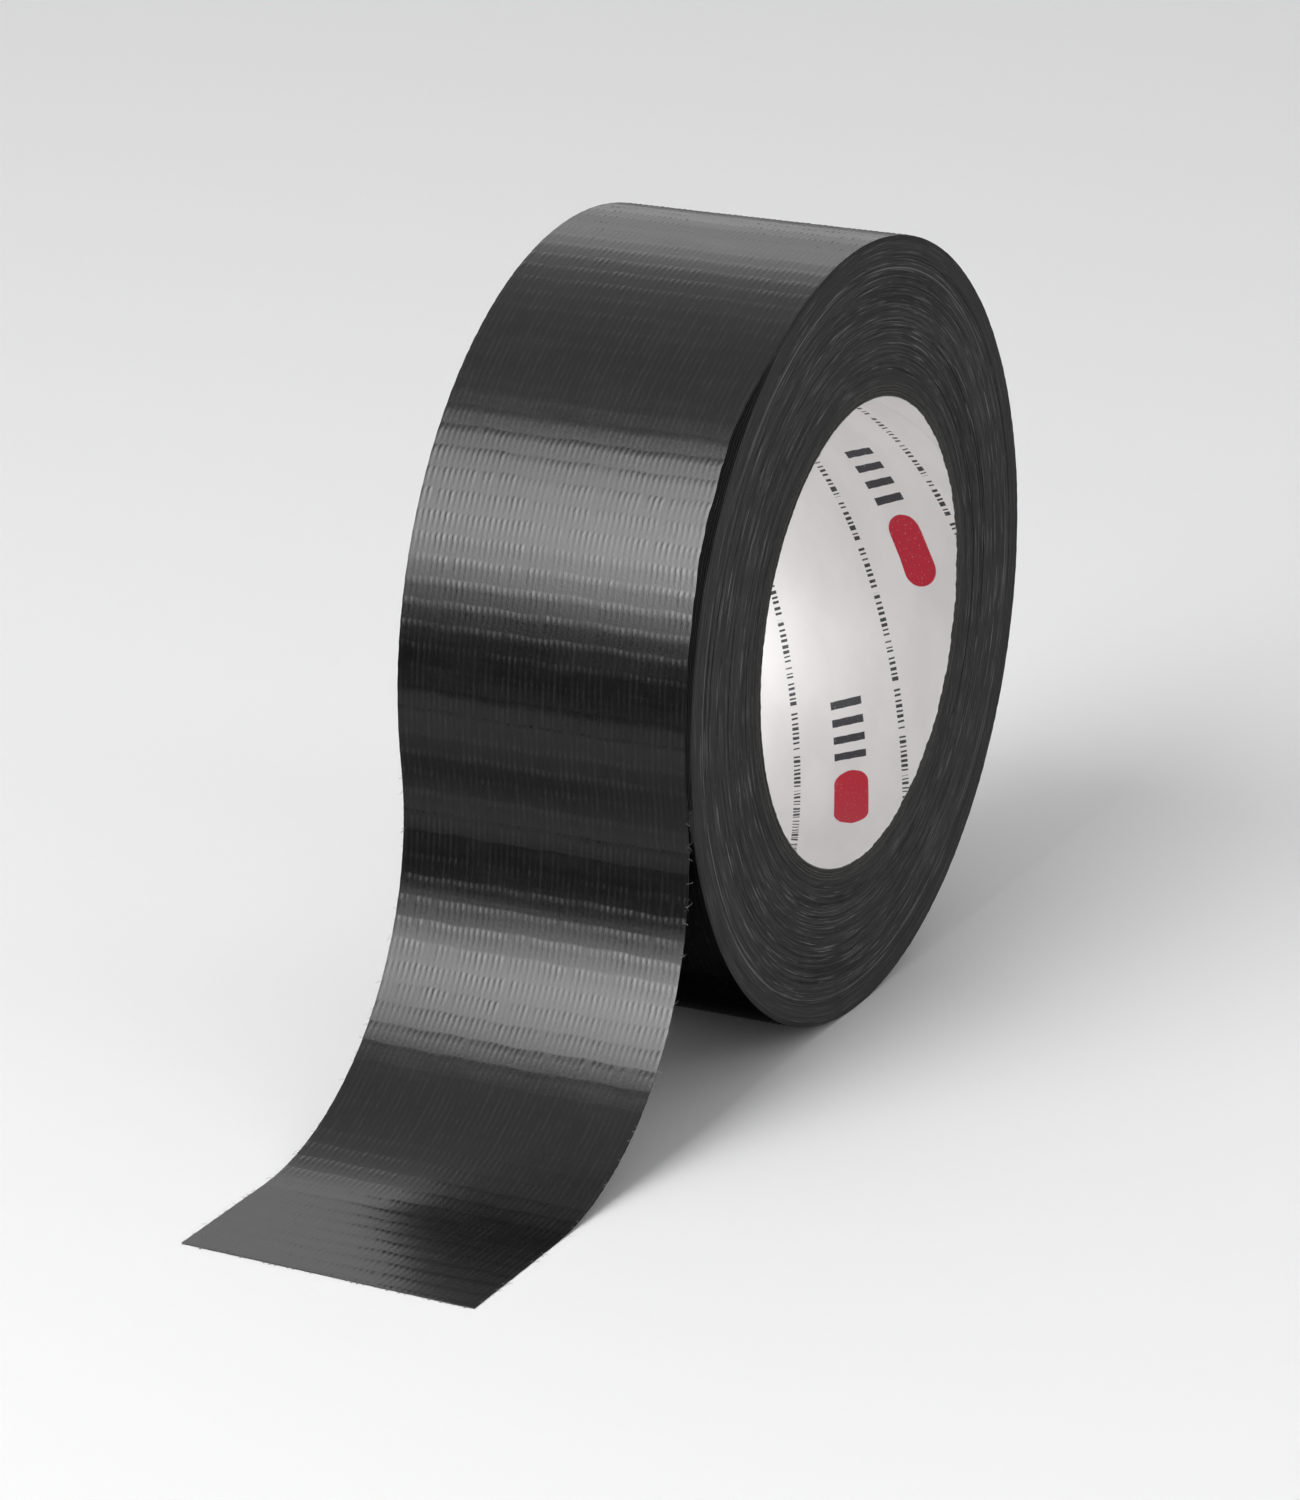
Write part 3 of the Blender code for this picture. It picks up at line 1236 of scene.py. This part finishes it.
    def layers(
        self, name: str, nodes: str, first: float, last: float, step: float
    ) -> list[bpy.types.Object]:
        """A stretch's film, cloth and adhesive, each standing for its node.

        Args:
            name: what the pieces' names start with.
            nodes: what the frame's nodes' names start with.
            first: the run at the stretch's start.
            last: the run at its end.
            step: how far apart a warp yarn's cross-sections are.

        Returns:
            The three pieces, the film first.
        """
        made = [
            self.slab(f"{name}_face", first, last, Layer.FILM),
            self.cloth(f"{name}_cloth", first, last, step),
            self.slab(f"{name}_sticky", first, last, Layer.STICKY),
        ]
        for obj, slot in zip(made, (Slot.FILM, Slot.CLOTH, Slot.STICKY)):
            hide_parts(f"{nodes}_{slot.value}")
        return made

    def _yarn(
        self,
        draft: Draft,
        runs: np.ndarray,
        places: np.ndarray,
        low: float,
        high: float,
        half: float,
        is_warp: bool,
    ) -> None:
        """Adds one flattened yarn.

        Args:
            draft: the cloth so far.
            runs: the run of each of its cross-sections.
            places: each one's distance from the front edge.
            low: its underside's depth.
            high: its top's depth.
            half: half its width.
            is_warp: whether it runs along the tape or across it.
        """
        front, back = self.edges(runs)
        middle = (low + high) / 2
        corners = ((-half, middle), (0.0, high), (half, middle), (0.0, low))
        rings, marks = [], []
        for aside, depth in corners:
            place = places + (aside if is_warp else 0.0)
            run = runs + (0.0 if is_warp else aside)
            share = place / self.path.width
            run = self.slope_cut(run, share)
            rings.append(self.path.at(run, front + (back - front) * share, np.full(len(runs), depth)))
            marks.append(np.stack([place, run, np.full(len(runs), depth)], axis=-1) / MM)
        grid = draft.lay(np.stack(rings, axis=1), np.stack(marks, axis=1))
        closed = np.concatenate([grid, grid[:, :1]], axis=1)
        draft.skin(closed)
        draft.cap(grid[0, :])
        draft.cap(grid[-1, ::-1])


# ------------------------------------------------------------------------------------------ sub-assemblies


@dataclass
class Core:
    """The tube that the tape is wound on: four plies of paperboard and the printed paper inside them."""

    path: TapePath
    plies: tuple[str, ...] = ("core_ply_inner", "core_ply_second", "core_ply_third", "core_ply_outer")
    liner_thickness: float = 0.1 * MM
    glue_line: float = 0.02 * MM
    steps: int = 432
    ply_inset: float = 0.06 * MM
    odd_ply_inset: float = 0.05 * MM
    ply_soft: float = 0.05 * MM
    ply_fuzz: float = 0.035 * MM
    ply_colour: tuple[float, float, float] = (0.022, 0.0217, 0.0203)
    ply_fibre: tuple[float, float, float] = (0.046, 0.0452, 0.0425)
    odd_ply_shade: float = 1.18
    strip_angle: float = math.radians(22.35)
    seam_turn: float = math.radians(128)
    seam_gap: float = 0.05 * MM
    liner_inset: float = 0.16 * MM
    liner_rag: float = 0.10 * MM
    liner_wrinkle: float = 0.012 * MM
    liner_cut: tuple[float, float, float] = (0.30, 0.30, 0.29)
    liner_cut_fibre: tuple[float, float, float] = (0.52, 0.52, 0.51)

    @staticmethod
    def outer_radius(node: str) -> float:
        """The radius at the corners of one of the frame's faceted rings."""
        low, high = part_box(node)
        return (high.x - low.x) / 2 / math.cos(math.pi / FLATS)

    def build(self) -> list[bpy.types.Object]:
        """Builds the liner and the plies.

        Returns:
            The pieces.
        """
        made = [self.build_liner()]
        inner = self.outer_radius("core_liner") + self.glue_line
        for number, name in enumerate(self.plies):
            outer = self.outer_radius(name)
            made.append(self.build_ply(name, number, inner, outer))
            inner = outer + self.glue_line
        return made

    def build_ply(self, name: str, number: int, inner: float, outer: float) -> bpy.types.Object:
        """One ply: a tube with soft, slightly fuzzy ends.

        Args:
            name: the frame's node.
            number: its place, from the inside.
            inner: its inner radius.
            outer: its outer radius.

        Returns:
            The piece.
        """
        angle = np.arange(self.steps) * 2 * math.pi / self.steps
        soft, is_odd = self.ply_soft, number % 2
        draft = Draft()
        columns = []
        for side in (-1, 1):
            fuzz = round_waves(100 + 2 * number + side, angle, (5, 31, 97, 163)) * self.ply_fuzz
            end = self.path.width / 2 - self.ply_inset - self.odd_ply_inset * is_odd + fuzz
            ends = (
                (inner, end - soft * 2),
                (inner + soft, end),
                (outer - soft, end + 0.02 * MM),
                (outer, end - soft * 2),
            )
            ordered = ends if side < 0 else ends[::-1]
            columns += [(np.full(self.steps, radius), side * y) for radius, y in ordered]
        radius = np.stack([radius for radius, _ in columns], axis=1)
        across = np.stack([y for _, y in columns], axis=1)
        points = self.path.round_axis(radius, angle[:, None], across)
        arcs = np.broadcast_to((angle * outer)[:, None], radius.shape)
        grid = draft.lay(points, np.stack([radius, arcs, across], axis=-1) / MM)
        closed = np.concatenate([grid, grid[:1]], axis=0)
        draft.skin(np.concatenate([closed, closed[:, :1]], axis=1))
        shade = self.odd_ply_shade if is_odd else 1.0
        colour = tuple(value * shade for value in self.ply_colour)
        fibre = tuple(value * shade for value in self.ply_fibre)
        obj = draft.make(name + "_board", [BoardFinish(name + "_board", colour, fibre).material()], 50)
        place_on_body(obj, Body.ROLL, name)
        return obj

    def build_liner(self) -> bpy.types.Object:
        """The printed paper: one slanting strip whose edges meet in a butt seam.

        Returns:
            The piece.
        """
        outer = self.outer_radius("core_liner")
        inner = outer - self.liner_thickness
        half = self.path.width / 2
        turn = np.linspace(0, 1, self.steps + 1)[:, None]
        y = np.linspace(-1, 1, 25)[None, :]
        gap = self.seam_gap / inner
        slant = half * y / math.tan(self.strip_angle) / inner
        angle = self.seam_turn + slant + gap + turn * (2 * math.pi - 2 * gap)
        ragged = round_waves(81, angle, (7, 23, 61, 139)) * self.liner_rag
        is_edge = abs(y) > 0.99
        across = half * y - np.sign(y) * (self.liner_inset + ragged) * is_edge
        wrinkle = 0.5 + 0.5 * np.sin(angle * 9 + across * 160) * np.sin(angle * 4 - across * 90)
        radius = inner + self.liner_wrinkle * wrinkle
        draft = Draft()
        points = self.path.round_axis(radius, angle, across)
        # The print's unrolled angle grows from the bottom of the bore, and the seam lies across it.
        flat = (angle - 2 * math.pi) * inner
        cosine, sine = math.cos(self.strip_angle), math.sin(self.strip_angle)
        marks = [flat * cosine + across * sine, across * cosine - flat * sine, 0 * flat]
        face = draft.lay(points, np.stack(marks, axis=-1) / MM)
        back = draft.lay(self.path.round_axis(outer, angle, across), np.stack(marks, axis=-1) / MM)
        draft.skin(face, 0)
        draft.skin(back, 1, flip=True)
        draft.skin(np.stack([back[:, 0], face[:, 0]], axis=1), 1)
        draft.skin(np.stack([face[:, -1], back[:, -1]], axis=1), 1)
        draft.skin(np.stack([face[0, :], back[0, :]], axis=1), 1)
        draft.skin(np.stack([back[-1, :], face[-1, :]], axis=1), 1)
        cut = BoardFinish("liner_cut", self.liner_cut, self.liner_cut_fibre).material()
        obj = draft.make("core_liner_printed", [LinerFinish().material(), cut], 50)
        place_on_body(obj, Body.ROLL, "core_liner")
        return obj


@dataclass
class WoundTape:
    """All the turns under the outer one, with the stepped side that unevenly wound tape has."""

    path: TapePath
    builder: TapeBuilder
    core_radius: float
    steps: int = 400
    slipped_turns: int = 4
    outer_gap: float = 0.008 * MM
    group_edge: float = 0.012 * MM
    turn_edge: float = 0.006 * MM
    crown: float = 0.010 * MM
    level_mm: tuple[float, float] = (0.02, 0.26)
    deepest_mm: float = 0.34
    drift_mm: float = 0.028
    chatter_mm: float = 0.010
    smooth_from: tuple[float, float] = (0.80, 0.86)
    seed: int = 5

    def groups(self) -> np.ndarray:
        """The radii of the edges between groups of turns, from the core out.

        Returns:
            The radii, two close together at each edge.
        """
        draw = np.random.default_rng(self.seed)
        turn = self.path.thickness
        radius, edges = self.core_radius, [self.core_radius]
        last = self.path.roll_radius - turn * (self.slipped_turns + 3)
        while radius < last:
            radius += turn * draw.choice((1, 2, 2, 3, 3, 4, 6))
            edges.append(min(radius, last))
        return np.array(edges)

    def build(self) -> bpy.types.Object:
        """Sweeps the pack's section round the axis.

        Returns:
            The piece.
        """
        back = np.linspace(0, 2 * math.pi - JOIN_GAP / self.path.peel_radius, self.steps)
        angle = self.path.peel_angle - back
        outside = self.path.radius(back) - self.path.thickness - self.outer_gap
        front = self._side(-1, back, angle, outside)
        rear = self._side(1, back, angle, outside)[::-1]
        section = front + rear
        radius = np.stack([row[0] for row in section], axis=1)
        across = np.stack([row[1] for row in section], axis=1)
        draft = Draft()
        arcs = np.broadcast_to((-back * self.path.peel_radius)[:, None], radius.shape)
        grid = draft.lay(
            self.path.round_axis(radius, angle[:, None], across),
            np.stack([radius, arcs, across], axis=-1) / MM,
        )
        closed = np.concatenate([grid, grid[:1]], axis=0)
        closed = np.concatenate([closed, closed[:, :1]], axis=1)
        # Slot 1, on the slipped turns' treads, is painted shade: near black for the gap under the outer
        # turn.
        treads = [len(front) - 2 * turn - 1 for turn in range(self.slipped_turns + 1)]
        for column in range(closed.shape[1] - 1):
            draft.skin(closed[:, column : column + 2], 1 if column in treads else 0)
        side = PackFinish(self.core_radius / MM, self.path.roll_radius / MM).material()
        obj = draft.make("wound_turns", [side, SlippedShadeFinish().material()], 35)
        place_on_body(obj, Body.ROLL, "wound_tape")
        return obj

    def _side(self, side: int, back: np.ndarray, angle: np.ndarray, outside: np.ndarray) -> list[tuple]:
        """One side of the section, from the core out.

        Args:
            side: -1 for the front, 1 for the back.
            back: each step's angle back from the peel line.
            angle: each step's direction from the axis.
            outside: the pack's radius at each step.

        Returns:
            A radius and a y at each step, for each point of the section.
        """
        half, edges = self.path.width / 2, self.groups()
        draw = np.random.default_rng(self.seed + 2 + side)
        rows = []
        level = 0.10
        for number, (inner, outer) in enumerate(zip(edges, edges[1:])):
            share = (inner - self.core_radius) / (self.path.roll_radius - self.core_radius)
            level = 0.72 * level + 0.28 * draw.uniform(*self.level_mm) + draw.normal(0, 0.024)
            drift = round_waves(1000 + 10 * number + side, angle, (1, 2, 3, 7)) * self.drift_mm
            chatter = round_waves(2000 + 10 * number + side, angle, (23, 41, 67)) * self.chatter_mm
            smooth = 1 - 0.8 * rise(np.array(share), *self.smooth_from)
            depth = (np.clip(level, self.level_mm[0], self.deepest_mm) + drift + chatter) * smooth * MM
            y = side * (half - np.clip(depth, 0.01 * MM, 0.5 * MM))
            points = (
                (inner + self.group_edge, 0.0),
                ((inner + outer) / 2, self.crown),
                (outer - self.group_edge, 0.0),
            )
            rows += [(np.full(self.steps, radius), y + side * crown) for radius, crown in points]
        slipped = self.builder.inset(-back * self.path.peel_radius) if side < 0 else 0.06 * MM + 0 * back
        start, step = edges[-1], (outside - edges[-1]) / (self.slipped_turns + 1)
        for turn in range(self.slipped_turns + 1):
            held = slipped * (turn / self.slipped_turns) ** 1.4 * 0.93
            y = side * (half - np.maximum(held, (0.02 + 0.012 * turn) * MM))
            rows.append((start + step * turn + self.turn_edge, y))
            rows.append((start + step * (turn + 1) - self.turn_edge, y))
        return rows


@dataclass
class OuterTurn:
    """The last whole turn of the tape on the roll, down to the peel line."""

    path: TapePath
    builder: TapeBuilder
    yarn_step: float = 5 * MM

    def build(self) -> list[bpy.types.Object]:
        """Builds its three layers.

        Returns:
            The pieces, the film first.
        """
        first, last = JOIN_GAP - self.path.turn_length, 0.0
        made = self.builder.layers("outer_turn", "outer_turn", first, last, self.yarn_step)
        for obj in made:
            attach(obj, Body.ROLL.value)
        return made


@dataclass
class TailStretch:
    """One stretch of the free end, from one run to another, between two of the frame's bodies."""

    name: str
    bodies: tuple[Body, Body]
    first: float
    last: float
    bend: tuple[float, float]
    held: str


@dataclass
class Tail:
    """The free end: it leaves the roll, swings down on an arc and lies flat."""

    path: TapePath
    builder: TapeBuilder
    yarn_step: float = 1.5 * MM
    peel_bend: float = 14 * MM
    middle_bend: float = 13 * MM
    lift_bend: tuple[float, float] = (10 * MM, 8 * MM)

    def stretches(self) -> tuple[TailStretch, ...]:
        """Works out where each stretch starts, bends and ends.

        Returns:
            The stretches, from the roll to the cut end.
        """
        arc, upper, lower = self.path.arc_length, 0.25 * self.path.arc_length, 0.75 * self.path.arc_length
        peel_bend = (0.0, self.peel_bend)
        middle_bend = (arc / 2 - self.middle_bend, arc / 2 + self.middle_bend)
        lift_bend = (arc - self.lift_bend[0], arc + self.lift_bend[1])
        return (
            TailStretch("peel", (Body.ROLL, Body.UPPER), 0.0, upper, peel_bend, "hung"),
            TailStretch("curve", (Body.UPPER, Body.LOWER), upper, lower, middle_bend, "hung"),
            TailStretch("flat", (Body.LOWER, Body.END), lower, self.path.length, lift_bend, "laid"),
        )

    def build(self) -> list[bpy.types.Object]:
        """Builds the three layers of every stretch.

        Returns:
            The pieces.
        """
        return [piece for stretch in self.stretches() for piece in self._build_stretch(stretch)]

    def _build_stretch(self, stretch: TailStretch) -> list[bpy.types.Object]:
        """Builds one stretch's three layers where they lie at rest.

        Args:
            stretch: the stretch.

        Returns:
            Its pieces, the film first.
        """
        first, last = stretch.first, stretch.last
        upper, lower = (body.value for body in stretch.bodies)
        made = self.builder.layers(f"tail_{stretch.name}", lower, first, last, self.yarn_step)
        start, end = (Vector(self.path.at(run, 0.0, 0.0)) for run in stretch.bend)
        for obj in made:
            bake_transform(obj)
        flat = (self.path.width, last - first)
        return made


# ---------------------------------------------------------------------------------------------------- studio


@dataclass(frozen=True)
class Panel:
    """A reflecting card or softbox, placed by the direction in which the roll sees it.

    Its light changes from its lower edge to its upper one by stops, and sideways by side_stops.
    """

    name: str
    direction: tuple[float, float, float]
    distance: float
    half_height: float
    half_width: float
    strength: float
    stops: tuple[tuple[float, float], ...]
    side_stops: tuple[tuple[float, float], ...] = ((0.0, 1.0), (1.0, 1.0))
    lights_floor: bool = True

    def build(self, aim: Vector) -> bpy.types.Object:
        """Builds the card as a fine grid that faces the roll.

        Args:
            aim: the point that it faces.

        Returns:
            The card, hidden from the camera.
        """
        out = Vector(self.direction).normalized()
        # Its upright lies square to the roll's axis, so that its gradient follows the roll's curve.
        up = Vector((-out.z, 0, out.x)).normalized() * math.copysign(1, out.x)
        aside = up.cross(out)
        x = np.linspace(-self.half_width, self.half_width, 9)[None, :]
        y = np.linspace(-self.half_height, self.half_height, 17)[:, None]
        x, y = np.broadcast_arrays(x, y)
        draft = Draft()
        grid = np.stack([x, y, 0 * x], axis=-1)
        draft.skin(draft.lay(grid, grid / np.array([self.half_width, self.half_height, 1.0])))
        obj = draft.make(self.name, [self.material()])
        turn = Matrix((aside, up, out)).transposed().to_4x4()
        obj.matrix_world = Matrix.Translation(aim + out * self.distance) @ turn
        obj.visible_camera = False
        obj.visible_diffuse = self.lights_floor
        obj.visible_shadow = False
        return obj

    def material(self) -> bpy.types.Material:
        """White light that changes up the card and across it.

        Returns:
            The material.
        """
        graph = Graph(self.name)
        aside, height, _ = graph.coordinates()
        rise_up = graph.node("ShaderNodeValToRGB", {"stops": self.stops}, {0: height * 0.5 + 0.5})
        sideways = graph.node("ShaderNodeValToRGB", {"stops": self.side_stops}, {0: aside * 0.5 + 0.5})
        return graph.glow(rise_up * sideways * self.strength)


@dataclass
class Studio:
    """The camera, the floor and the soft lights."""

    aim: Vector = field(default_factory=lambda: Vector((-11.5, 7.3, 42.8)) * MM)
    away: float = 943.9 * MM
    azimuth: float = math.radians(-63.783)
    elevation: float = math.radians(18.779)
    lens_mm: float = 139.92
    sensor_mm: float = 36.0
    floor_size: float = 80.0

    def build(self) -> None:
        """Sets up everything round the object."""
        self.build_camera()
        self.build_floor()
        self.build_world()
        self.build_lights()
        bpy.context.scene.view_settings.view_transform = "Standard"

    def build_camera(self) -> None:
        """The camera, level, looking down on the roll."""
        flat = Vector((math.sin(self.azimuth), -math.cos(self.azimuth), 0))
        out = flat * math.cos(self.elevation) + Vector((0, 0, math.sin(self.elevation)))
        data = bpy.data.cameras.new("camera")
        data.lens = self.lens_mm
        data.sensor_width = self.sensor_mm
        data.clip_end = 100
        camera = bpy.data.objects.new("camera", data)
        camera.location = self.aim + out * self.away
        camera.rotation_euler = (-out).to_track_quat("-Z", "Y").to_euler()
        bpy.context.scene.collection.objects.link(camera)
        bpy.context.scene.camera = camera

    def build_floor(self) -> None:
        """A wide pale floor that leaves reflections to the cards."""
        side = np.linspace(-1, 1, 25) ** 3 * self.floor_size / 2
        x, y = np.meshgrid(side, side, indexing="ij")
        draft = Draft()
        grid = np.stack([x, y, 0 * x - 0.02 * MM], axis=-1)
        draft.skin(draft.lay(grid, grid))
        floor = draft.make("studio_floor", [FloorFinish().material()])
        floor.visible_glossy = False

    def build_world(self) -> None:
        """Soft light from above, and what the gloss sees below the horizon."""
        world = bpy.data.worlds.new("studio")
        bpy.context.scene.world = world
        graph = Graph("studio", world)
        place = graph.node("ShaderNodeTexCoord", {}, {}, "Generated")
        height = graph.node("ShaderNodeSeparateXYZ", {}, {0: place}, 2)
        stops = (
            (0.0, 0.02),
            (0.18, 0.05),
            (0.23, 0.30),
            (0.35, 0.90),
            (0.375, 0.06),
            (0.49, 0.05),
            (0.51, 0.90),
            (0.72, 0.72),
            (1.0, 0.58),
        )
        ramp = graph.node("ShaderNodeValToRGB", {"stops": stops}, {0: height * 0.5 + 0.5})
        # The roll's own shadow darkens what its underside sees behind it.
        aside = graph.node("ShaderNodeSeparateXYZ", {}, {0: place}, 0)
        shaded = aside.ramp(0.0, 0.3) * height.ramp(-0.02, -0.12)
        sky = ramp * (1 - shaded * 0.96)
        graph.end("ShaderNodeOutputWorld", graph.node("ShaderNodeBackground", {}, {0: sky}))

    def build_lights(self) -> None:
        """The softbox behind the free end, the back light, the front fill and a dark card."""
        panels = (
            Panel(
                name="key_softbox",
                direction=(-0.753, 0.418, 0.508),
                distance=1.6,
                half_height=0.77,
                half_width=0.80,
                strength=14.0,
                stops=(
                    (0.0, 0.10),
                    (0.09, 0.17),
                    (0.21, 0.39),
                    (0.36, 0.88),
                    (0.48, 1.0),
                    (0.78, 0.80),
                    (0.985, 0.66),
                    (1.0, 0.0),
                ),
                side_stops=(
                    (0.0, 0.02),
                    (0.25, 0.14),
                    (0.42, 0.42),
                    (0.50, 0.50),
                    (0.58, 0.60),
                    (0.72, 0.92),
                    (1.0, 1.0),
                ),
            ),
            Panel(
                name="back_softbox",
                direction=(0.70, 0.418, 0.58),
                distance=1.7,
                half_height=0.45,
                half_width=0.70,
                strength=1.7,
                stops=((0.0, 0.3), (0.3, 0.9), (0.6, 0.8), (1.0, 0.3)),
            ),
            Panel(
                name="front_fill",
                direction=(-0.02, -0.93, 0.35),
                distance=1.8,
                half_height=0.50,
                half_width=0.70,
                strength=2.15,
                stops=((0.0, 0.2), (0.3, 1.0), (0.7, 1.0), (1.0, 0.2)),
            ),
            Panel(
                name="dark_card",
                direction=(-0.90, 0.418, -0.02),
                distance=1.3,
                half_height=0.20,
                half_width=1.00,
                strength=1.0,
                stops=((0.0, 0.05), (1.0, 0.05)),
                lights_floor=False,
            ),
        )
        for panel in panels:
            panel.build(self.aim)


def main() -> None:
    """Builds the object in order and reports each piece."""
    logging.basicConfig(level=logging.INFO, format="%(message)s")
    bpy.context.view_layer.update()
    path = TapePath.from_frame()
    builder = TapeBuilder(
        path=path,
        weave=Weave(),
        film=FilmFinish().material(),
        sticky=StickyFinish().material(),
        edge=EdgeFinish().material(),
        yarn=YarnFinish().material(),
    )
    Studio().build()
    core = Core(path)
    pieces = core.build()
    core_radius = core.outer_radius(core.plies[-1]) + core.glue_line
    pieces.append(WoundTape(path, builder, core_radius).build())
    pieces += OuterTurn(path, builder).build()
    pieces += Tail(path, builder).build()
    for piece in pieces:
        log.info("%s: %d faces", piece.name, len(piece.data.polygons))


if __name__ == "__main__":
    main()
